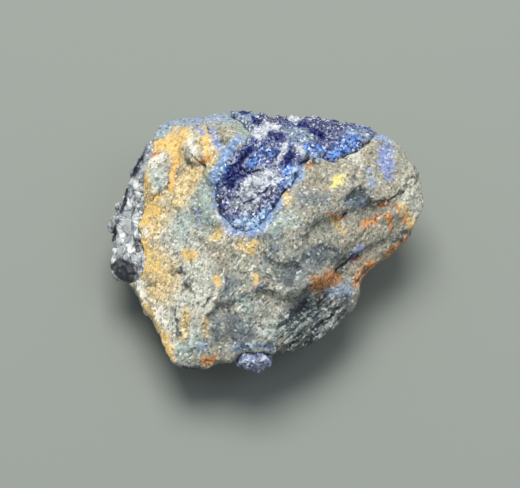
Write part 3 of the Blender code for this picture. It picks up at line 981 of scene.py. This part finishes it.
# Here the painted shade darkens the hollows and the sharp edges are made lighter.
ground = stone.shade(ground, (0.86 + grit * 0.28) * (1.0 - hollow_shade) * (1.0 + lighter_edges))
lumpy = stone.cloud(1.2, 8.0, 0.72) * 1.6 + grit * 1.2 + streak * 2.2 + fibre * block * 1.8
stone.set(
    Base_Color=ground,
    Roughness=0.72 - pale_grains_and_glints * 0.4,
    Normal=stone.bump(lumpy, 0.12, facet),
)
dress("host_rock", rock, stone)

# %% [markdown]
# ## The druse
#
# Azurite grows in small blades, a millimetre or so across, that lie every way in a common crust.
# Displacement alone gives lumps, never blades, because a moved net can't overhang. So the crust is a skin
# like the rock's, swollen a little so that it closes the fine gap to its bed and broken into steep chips,
# and the blades are real ones: six-sided plates, each narrowed to a wedge, that lie nearly flat in the
# crust, so that only an end or an edge stands out. Where to set them comes from the skin's own points,
# taken in a shuffled order and kept if no other blade is too near.


# %% The crust
def crust_of(node, voxel, rounds, swell, rough):
    """The skin of a piece of azurite, swollen by this much, with the roughness that rough works out."""
    skin = fine_skin(node, voxel, rounds)
    points, facing = points_of(skin)
    move_points(skin, points + (swell + rough(points))[:, None] * facing)
    return skin


# %% [markdown]
# ## Places for the blades
#
# Crystals crowd each other but don't grow out of the same spot, so any two blades keep a distance.
# Comparing each with all the others would be slow. So the places taken are kept in a coarse grid of
# boxes, and only the 27 boxes round a new place are looked through.

# %% Places for the blades
CHANCE = random.Random(11)
OUTWARD = 0.35  # how squarely a point of the crust has to face away from the heart to carry a blade


def outer_sites(skin, spacing):
    """Places on a crust's outer face, in no order, none nearer to another than spacing says for it."""
    points, facing = points_of(skin)
    outward = (points * facing).sum(axis=1) / np.linalg.norm(points, axis=1)
    order = [i for i in range(len(points)) if outward[i] > OUTWARD]
    CHANCE.shuffle(order)
    room = spacing.max()
    taken = {}
    sites = []
    for i in order:
        cell = tuple(int(x // room) for x in points[i])
        near = (
            taken.get((cell[0] + a, cell[1] + b, cell[2] + c), ())
            for a in (-1, 0, 1) for b in (-1, 0, 1) for c in (-1, 0, 1)
        )
        if all(np.linalg.norm(points[i] - other) > spacing[i] for group in near for other in group):
            taken.setdefault(cell, []).append(points[i])
            sites.append((points[i], facing[i]))
    return sites


# %% [markdown]
# ## One blade
#
# A blade is a cone with six sides and its tip cut off. The operator makes it upright at the origin, and a
# single matrix flattens it, rolls it, turns it to the way that the crust faces there with a lean of its
# own, and sets it in its place.

# %% One blade
BLADE_SIDES = 6
BLADE_LENGTH = (0.6, 1.1)  # the least and the most
BLADE_WIDTH = (0.6, 1.2)
BLADE_FLATNESS = 0.5  # how thick a blade is, in widths
BLADE_WEDGE = (0.35, 0.8)  # how wide its end is, in widths of its foot
BLADE_LEAN = 1.5  # how far it strays from the way the crust faces, which has a length of 1
BLADE_SINK = 0.18


def add_blade(blades, site, facing, length, width):
    """A six-sided blade, narrowed to a wedge, set in the crust at a site. Returns its corners."""
    tilt = Vector([CHANCE.gauss(0.0, BLADE_LEAN) for _ in range(3)])
    turn = (Vector(facing) + tilt).to_track_quat("Z", "Y").to_matrix().to_4x4()
    roll = Matrix.Rotation(CHANCE.uniform(0.0, math.tau), 4, "Z")
    size = Matrix.Diagonal((width * MM, BLADE_FLATNESS * width * MM, length * MM, 1.0))
    spot = Matrix.Translation(Vector((HEART + site) * MM))
    wedge = CHANCE.uniform(*BLADE_WEDGE)
    made = bmesh.ops.create_cone(
        blades, cap_ends=True, segments=BLADE_SIDES, radius1=0.5, radius2=0.5 * wedge, depth=1.0,
        matrix=spot @ turn @ roll @ size,
    )
    return made["verts"]


# %% [markdown]
# ## Strokes on the druse
#
# The crust isn't one blue. Along its ridge and in the middle a silvery painted reflection lies where the
# blades turn their flat sides to the light, and in some places it is grey-green. It is bright or sky blue
# where a crystal is thin and lets light through, and navy to black in the depth between crystals, the
# black being painted shade.

# %% Strokes on the druse
# Painted reflection: silvery strokes where the blades turn their flat sides to the light.
PAINTED_REFLECTION = (
    (1.1, ((-1.4, 19.7), (0.4, 20.6), (1.6, 20.3))),
    (1.6, ((-2.9, 10.1), (-0.7, 11.5), (1.1, 11.8))),
    (1.6, ((-3.2, 8.6), (-1.4, 9.7), (0.4, 10.8))),
    (1.1, ((-5.0, 6.8), (-2.2, 7.5))),
    (0.5, ((-3.9, 5.4), (-2.2, 6.1))),
    (0.7, ((4.7, 22.6), (6.1, 22.3))),
    (0.7, ((-9.0, 5.7), (-7.9, 4.7))),
    (0.6, ((3.1, 18.3), (3.4, 16.5))),
    (0.6, ((5.4, 16.9), (6.3, 16.5))),
    (0.5, ((2.7, 15.4), (1.8, 14.4))),
    (0.4, ((-3.6, 15.1), (-4.7, 13.6))),
    (0.4, ((-6.5, 2.9), (-5.4, 2.5))),
)
TEAL = (
    (1.8, ((-6.8, 24.2), (-3.2, 23.2))),
    (1.1, ((-2.9, 21.2), (-3.9, 18.7))),
    (1.4, ((4.3, 19.4), (7.2, 19.0))),
    (0.8, ((6.6, 15.8), (9.3, 15.8))),
    (0.9, ((15.1, 19.9), (19.7, 18.3))),
    (0.9, ((-3.6, 20.8), (-5.0, 18.3))),
    (0.7, ((-7.2, 14.7), (-8.3, 11.8))),
)
BRIGHT = (
    (0.9, ((-8.3, 14.0), (-6.8, 12.6))),
    (0.8, ((-8.6, 12.2), (-7.4, 10.8))),
    (0.9, ((-2.9, 14.4), (-1.8, 14.7))),
    (0.5, ((-0.7, 16.5), (1.1, 15.8))),
    (1.1, ((5.0, 11.5), (3.6, 12.7))),
    (0.9, ((2.2, 10.4), (3.2, 11.1))),
    (1.6, ((13.6, 16.5), (15.4, 18.1))),
    (0.9, ((12.2, 15.6), (14.4, 16.5))),
    (0.7, ((7.5, 16.9), (10.1, 16.5))),
)
SKY = (
    (1.6, ((-4.3, 2.5), (-1.4, 2.9))),
    (1.1, ((-1.4, 3.6), (0.4, 5.0))),
    (0.5, ((-7.2, 3.6), (-5.7, 2.5))),
    (0.6, ((-8.4, 14.4), (-7.9, 11.1))),
    (0.8, ((5.6, 12.9), (4.5, 10.4))),
)
# Painted shade: black in the pit and in the depth between crystals.
DEEP_SHADE = (
    (1.3, ((-6.8, 11.1), (-5.4, 12.6))),
    (0.7, ((-5.4, 13.6), (-3.9, 15.4))),
    (0.5, ((-3.9, 15.4), (-2.5, 16.9))),
    (0.3, ((-4.7, 11.5), (-2.9, 12.7), (-1.1, 12.9))),
    (0.2, ((-1.4, 8.6), (-0.2, 9.2), (0.9, 10.1))),
    (0.2, ((-3.9, 7.0), (-2.2, 7.7))),
    (0.7, ((1.1, 19.4), (2.9, 18.7))),
    (0.7, ((3.8, 14.4), (4.3, 15.8))),
    (0.4, ((-8.1, 6.5), (-8.4, 4.7))),
    (0.4, ((-2.3, 22.1), (-1.4, 21.2))),
    (0.4, ((-4.7, 23.3), (-2.9, 23.3))),
    (0.5, ((8.3, 20.1), (10.1, 19.0))),
    (0.5, ((6.1, 21.2), (7.5, 20.8))),
)
VIOLET = (
    (0.9, ((-2.2, 22.3), (-0.4, 22.3))),
    (1.1, ((0.7, 22.4), (4.3, 22.6), (7.2, 22.3))),
    (1.4, ((8.6, 21.9), (10.8, 21.9), (13.3, 20.6))),
    (0.5, ((13.3, 20.8), (16.2, 19.9), (18.3, 19.2))),
    (0.9, ((-7.9, 7.9), (-7.2, 5.7))),
    (0.7, ((-6.5, 3.6), (-3.6, 3.8))),
    (1.3, ((8.6, 19.4), (10.4, 18.7))),
)
LILAC = (
    (1.6, ((-6.1, 7.5), (-4.7, 5.0))),
    (1.4, ((-4.7, 5.0), (-1.4, 6.5))),
    (0.9, ((0.7, 7.9), (1.8, 9.7))),
)
NAVY = (
    (1.6, ((-2.9, 16.5), (-0.7, 17.2), (1.1, 16.9))),
    (1.1, ((3.9, 16.2), (4.3, 14.4))),
    (1.1, ((0.4, 14.7), (2.5, 13.6))),
    (1.1, ((8.6, 16.9), (11.8, 16.5))),
    (0.9, ((1.8, 12.9), (2.9, 11.8))),
)
DRUSE_MAP = {
    "painted_reflection": PAINTED_REFLECTION, "teal": TEAL, "bright": BRIGHT, "sky": SKY, "deep_shade": DEEP_SHADE, "violet": VIOLET,
    "lilac": LILAC, "navy": NAVY,
}
print(sum(len(strokes) for strokes in DRUSE_MAP.values()), "strokes lie on the druse")

# %% [markdown]
# ## Build the druse
#
# Steep chips make the crust's own crystals, and the blades stand between them. The parts under the
# silvery painted reflection and the grey-green parts are smoother, so there the chips are lower and the
# blades farther apart. Each blade carries a random tone, so that one can be lighter than the next.

# %% Build the druse
DRUSE_NET = 0.20
DRUSE_ROUNDS = 2
DRUSE_SWELL = 0.44
DRUSE_CHIPS = (
    # size, lean, step, seed
    (1.9, 0.22, 0.12, 6.0),
    (0.85, 0.40, 0.22, 7.0),
)
CALM_CHIPS = 0.40  # how high chips stand where the crystals lie calm, next to the others
CALM_SPACING = 1.9
SPACING = 0.85
DRUSE_WARP = 0.4
BACK_DROP = 0.35
BACK_EDGE = (18.5, 22.0)  # the v at which the drop starts, and where it is full


def calm(points):
    """True where the silvery painted reflection or grey-green lies: there crystals lie flatter, farther
    apart.
    """
    return stroke_field(PAINTED_REFLECTION + TEAL, *on_map(points)) > 0.0


def druse_chips(points):
    """Steep chips of two sizes, flatter where the crystals lie calm, and let down along the back edge."""
    rough = chips_in_layers(points, DRUSE_CHIPS)
    _, v = on_map(points)
    return rough * np.where(calm(points), CALM_CHIPS, 1.0) - BACK_DROP * ramp(v, *BACK_EDGE)


druse = crust_of("azurite_druse", DRUSE_NET, DRUSE_ROUNDS, DRUSE_SWELL, druse_chips)
crust_points, _ = points_of(druse)
sites = outer_sites(druse, np.where(calm(crust_points), CALM_SPACING, SPACING))
blades = bmesh.new()
blades.from_mesh(druse)
tone = blades.verts.layers.float.new("tone")
for vert in blades.verts:
    vert[tone] = 0.5
for site, facing in sites:
    shade = CHANCE.random()
    length = CHANCE.uniform(*BLADE_LENGTH)
    width = CHANCE.uniform(*BLADE_WIDTH)
    for vert in add_blade(blades, site - BLADE_SINK * facing, facing, length, width):
        vert[tone] = shade
blades.to_mesh(druse)
blades.free()
print("the crust carries", len(sites), "blades")
crust_points, _ = points_of(druse)
u, v = on_map(warped(crust_points, DRUSE_WARP))
carry(druse, **{name: stroke_field(strokes, u, v) for name, strokes in DRUSE_MAP.items()})

# %% [markdown]
# ## The druse's finish
#
# A crystal is dark where the eye looks into it and white where a face mirrors the lamp. So the blues are
# laid on first, as on the rock, and then near-black streaks and facets, and pale ones that are painted
# glints; facets are flat cells with a tilt of their own. The surface is smooth enough to glint.

# %% Finish of the druse
DRUSE_STREAKS = (math.radians(42.0), 2.2, 0.45)  # turn, length, width

glass = Finish("azurite_druse")
own = glass.field("tone")
grit = glass.cloud(0.36, 3.0, 0.75)
speckle = glass.cloud(0.6, 4.0, 0.65)
streak = fibres(glass, *DRUSE_STREAKS)
ragged = (glass.cloud(0.8, 6.0, 0.75) - 0.5) * 1.3 + (streak - 0.5) * 1.2 + (grit - 0.5) * 0.8
facet, kind = facets(glass, 0.44, 1.1)
paler = glass.step(speckle + (own - 0.5) * 0.25, 0.38, 0.62)
ground = glass.blend(paler, rgb(62, 72, 124), rgb(146, 158, 192))
ground = glass.blend(glass.step(glass.cloud(1.3), 0.50, 0.62) * 0.5, ground, rgb(80, 112, 196))
DRUSE_LAYERS = (
    # name, colour, field at its thin edge, field where it is thick, how thick
    ("violet", rgb(54, 56, 98), -0.6, 0.6, 0.78),
    ("lilac", rgb(138, 142, 178), -0.6, 0.6, 0.80),
    ("navy", rgb(56, 76, 134), -0.6, 0.6, 0.70),
    ("teal", rgb(142, 160, 176), -0.6, 0.6, 0.80),
    ("bright", rgb(92, 144, 226), -0.6, 0.7, 0.88),
    ("sky", rgb(178, 212, 248), -0.8, 0.4, 0.92),
    # painted reflection: the silvery sheen of flat blade faces
    ("painted_reflection", rgb(210, 214, 220), -0.7, 0.5, 0.90),
)
for name, colour, thin, thick, most in DRUSE_LAYERS:
    ground = glass.blend(stain(glass, name, ragged, thin, thick) * most, ground, colour)
# painted shade of the pit and of the depth between crystals
blackness = stain(glass, "deep_shade", ragged, -0.4, 0.4)
# where the silvery painted reflection lies
shine = stain(glass, "painted_reflection", ragged, -0.3, 0.4)
# painted glints: pale streaks where faces mirror the lamp
ground = glass.blend(glass.step(streak, 0.55, 0.68) * 0.55, ground, rgb(206, 214, 228))
ground = glass.blend(glass.step(streak, 0.45, 0.33) * (0.60 - shine * 0.40), ground, rgb(34, 42, 88))
ground = glass.blend(glass.step(kind, 0.24, 0.20) * (0.70 - shine * 0.3), ground, rgb(26, 30, 70))
# painted glints: pale facets, fewer where the painted shade lies
ground = glass.blend(glass.step(kind, 0.84, 0.88) * (0.70 - blackness * 0.6), ground, rgb(228, 232, 242))
# the painted shade of the pit laid on last
ground = glass.blend(blackness * 0.90, ground, rgb(16, 28, 102))
glass.set(
    Base_Color=glass.shade(ground, 0.30 + grit * 1.4),
    Roughness=0.26 + grit * 0.25,
    Specular_IOR_Level=0.5,
    Normal=glass.bump(grit, 0.05, facet),
)
dress("azurite_druse", druse, glass)

# %% [markdown]
# ## The slab and the knob
#
# The slab on the left flank broke like glass, in smooth shell-shaped faces with sharp edges, so it gets
# wide chips and almost no grain. Seen from the display side it is smoky grey, much of it painted
# reflection, with a few painted white glints and one jet-black block at its lower end. The knob under the
# front edge is duller: a mass of fine crystals, white where they are powdery and blue round the edge.
# Both are swollen a little like the crust, which seats them in their beds.

# %% Strokes on the slab
SMOKE = (
    (0.7, ((-21.5, 19.0), (-22.3, 15.4), (-23.7, 11.8))),
    (0.5, ((-24.4, 10.1), (-25.5, 6.1), (-26.6, 3.6))),
    (0.5, ((-24.8, 8.3), (-24.1, 6.5))),
    (0.4, ((-23.3, 0.0), (-22.8, -1.8))),
    (0.4, ((-26.9, 3.2), (-26.8, 1.1))),
)
# Painted glints: white strokes where the slab mirrors the lamp.
GLINT = (
    (0.7, ((-24.4, 11.1), (-23.5, 10.1))),
    (0.5, ((-25.0, -0.4), (-24.1, -1.4))),
    (0.5, ((-27.6, -3.2), (-26.2, -3.9))),
    (0.4, ((-27.5, -0.9), (-27.1, -2.0))),
    (0.5, ((-26.4, 2.9), (-25.9, 1.4))),
    (0.4, ((-24.8, 7.5), (-24.4, 6.5))),
    (0.4, ((-24.4, -5.7), (-23.9, -4.7))),
)
JET = (
    (1.3, ((-26.2, -4.3), (-24.2, -5.0))),
    (0.5, ((-26.9, -5.4), (-25.5, -6.5), (-24.1, -6.8))),
    (0.3, ((-22.4, 15.3), (-23.9, 12.2))),
    (0.3, ((-25.0, 9.3), (-25.1, 7.5), (-26.0, 5.4))),
    (0.3, ((-27.1, 2.9), (-27.3, 0.4))),
    (0.4, ((-23.2, -0.4), (-23.0, -1.6))),
    (0.4, ((-27.6, -4.3), (-26.6, -5.2))),
)
SLAB_MAP = {"smoke": SMOKE, "glint": GLINT, "jet": JET}
print(sum(len(strokes) for strokes in SLAB_MAP.values()), "strokes lie on the slab")

# %% Build the slab and the knob
SLAB_NET = 0.24
SLAB_ROUNDS = 3
SLAB_SWELL = 0.26
SLAB_CHIPS = (
    # size, lean, step, seed
    (3.4, 0.26, 0.05, 8.0),
    (1.5, 0.22, 0.05, 9.0),
)
SLAB_SQUEEZE = (1.0, 0.65, 1.0)  # u, v and w before the chips are laid out, which leaves them long in v
SLAB_WARP = 0.3
KNOB_NET = 0.20
KNOB_ROUNDS = 2
KNOB_SWELL = 0.20
KNOB_CHIPS = (
    # size, lean, step, seed
    (1.6, 0.40, 0.30, 15.0),
    (0.8, 0.35, 0.25, 17.0),
)


def slab_chips(points):
    """Chips of two sizes, half as long again up the slab as they are wide."""
    return chips_in_layers((points @ PLANE.T) * SLAB_SQUEEZE, SLAB_CHIPS)


def knob_chips(points):
    """Steep chips of two sizes."""
    return chips_in_layers(points, KNOB_CHIPS)


slab = crust_of("azurite_slab", SLAB_NET, SLAB_ROUNDS, SLAB_SWELL, slab_chips)
slab_points, _ = points_of(slab)
u, v = on_map(warped(slab_points, SLAB_WARP))
carry(slab, hollow=hollows(slab))
carry(slab, **{name: stroke_field(strokes, u, v) for name, strokes in SLAB_MAP.items()})
knob = crust_of("azurite_knob", KNOB_NET, KNOB_ROUNDS, KNOB_SWELL, knob_chips)

# %% [markdown]
# ## The slab's finish
#
# Glass-like azurite mirrors more than it shows its colour, so the slab is painted mostly grey, a painted
# reflection, with painted white glints. Long slivers, light and dark, run up it. The borders of large
# Voronoi cells are the lines where it is broken across, and painted shade makes its hollows nearly black.

# %% Finish of the slab
SLAB_SLIVERS = (math.radians(79.0), 3.2, 0.60)  # turn, length, width

pane = Finish("azurite_slab")
smoke = pane.cloud(2.2, 4.0, 0.55)
fine = pane.cloud(0.4, 4.0, 0.6)
ragged = (pane.cloud(0.9, 6.0, 0.7) - 0.5) * 1.6
facet, kind = facets(pane, 1.0, 0.38)
# painted reflection: the grey ground stands for mirrored light
ground = pane.blend(pane.step(smoke, 0.42, 0.60), rgb(154, 160, 163), rgb(192, 196, 196))
ground = pane.blend(pane.step(pane.cloud(0.9, 6.0, 0.7), 0.58, 0.66) * 0.30, ground, rgb(84, 88, 110))
SLAB_LAYERS = (
    # name, colour, field at its thin edge, field where it is thick, how thick
    ("smoke", rgb(104, 112, 130), -0.3, 0.6, 0.70),
    # painted glints
    ("glint", rgb(242, 242, 238), -0.2, 0.5, 0.90),
)
for name, colour, thin, thick, most in SLAB_LAYERS:
    ground = pane.blend(stain(pane, name, ragged, thin, thick) * most, ground, colour)
sliver = fibres(pane, *SLAB_SLIVERS)
ground = pane.blend(pane.step(sliver, 0.58, 0.66) * 0.60, ground, rgb(228, 232, 234))
ground = pane.blend(pane.step(sliver, 0.41, 0.35) * 0.65, ground, rgb(44, 48, 62))
broken = pane.cells(2.0, "DISTANCE_TO_EDGE") + (smoke - 0.5) * 0.25
ground = pane.blend(pane.step(broken, 0.05, 0.01) * 0.60, ground, rgb(44, 48, 62))
blackness = stain(pane, "jet", ragged * 0.7, -0.2, 0.2)
ground = pane.blend(blackness * 0.95, ground, rgb(28, 30, 38))
# painted shade: the hollows made nearly black
ground = pane.blend(pane.step(pane.field("hollow"), 0.020, 0.08) * 0.60, ground, rgb(24, 26, 38))
# painted glints: scattered white facets
ground = pane.blend(pane.step(kind, 0.88, 0.90) * (0.25 - blackness * 0.2), ground, rgb(232, 234, 236))
pane.set(
    Base_Color=pane.shade(ground, 0.80 + fine * 0.4),
    Roughness=0.16 + fine * 0.15 + blackness * 0.15,
    Specular_IOR_Level=0.7,
    Normal=pane.bump(fine, 0.03, facet),
)
dress("azurite_slab", slab, pane)

# %% [markdown]
# ## The knob's finish
#
# Powder scatters light, so the knob is rougher than the other azurite and mostly white, with blue showing
# between the grains.

# %% Finish of the knob
powder = Finish("azurite_knob")
cloudy = powder.cloud(0.9, 5.0, 0.65)
fine = powder.cloud(0.32, 4.0, 0.65)
facet, kind = facets(powder, 0.42, 0.9)
ground = powder.blend(powder.step(cloudy, 0.40, 0.58), rgb(116, 130, 176), rgb(196, 202, 214))
ground = powder.blend(powder.step(fine, 0.56, 0.66) * 0.7, ground, rgb(236, 238, 242))
ground = powder.blend(powder.step(kind, 0.22, 0.18) * 0.6, ground, rgb(48, 52, 96))
powder.set(
    Base_Color=powder.shade(ground, 0.70 + fine * 0.6),
    Roughness=0.35 + fine * 0.3,
    Normal=powder.bump(fine, 0.08, facet),
)
dress("azurite_knob", knob, powder)
